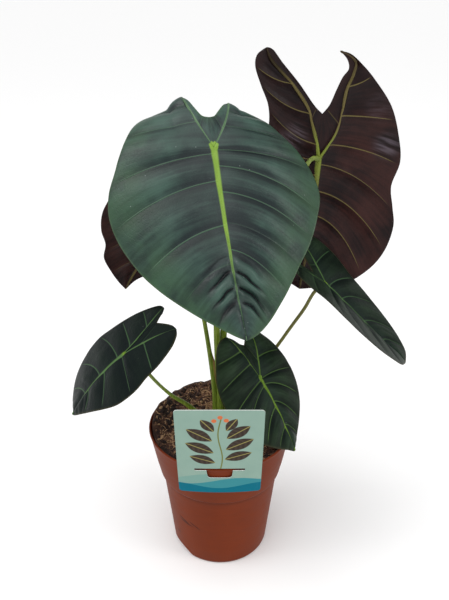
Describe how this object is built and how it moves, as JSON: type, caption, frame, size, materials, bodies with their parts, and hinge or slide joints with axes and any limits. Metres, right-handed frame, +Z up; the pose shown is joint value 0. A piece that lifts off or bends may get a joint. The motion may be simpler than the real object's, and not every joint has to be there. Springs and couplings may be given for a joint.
{
  "type": "potted alocasia plant",
  "caption": "Young potted alocasia: dark heart-shaped ribbed leaves on slender stalks, coir soil, tapered nursery pot with a wide collar, plain hang card on the rim.",
  "frame": {"origin": "centre of the pot's flat underside, where the pot stands", "axes": "+Z up; -Y is the front, where the hang card is; +X is to the right seen from the front"},
  "size_m": [0.2784, 0.1531, 0.4152],
  "materials": {
    "pot_plastic": "matte brown thermoformed plastic, faint flow marks and scuffs",
    "soil": "rough crumbly peat with coir fibres",
    "card": "thin printed plastic card, satin",
    "stalk": "smooth waxy lime green stalk",
    "leaf_green": "satin dark blue-green blade with lime midrib and pale side veins",
    "leaf_dark": "satin very dark green blade with lime ribs",
    "leaf_purple": "satin purple-brown underside with olive ribs"
  },
  "bodies": {
    "root": {"pot": "pot_plastic", "soil": "soil", "label": "card", "petiole_front": "stalk", "blade_front": "leaf_green", "petiole_back": "stalk", "blade_back": "leaf_purple", "petiole_right": "stalk", "blade_right": "leaf_dark", "petiole_left": "stalk", "blade_left": "leaf_purple", "petiole_centre": "stalk", "blade_centre": "leaf_dark", "petiole_low": "stalk", "blade_low": "leaf_dark"}
  },
  "joints": []
}
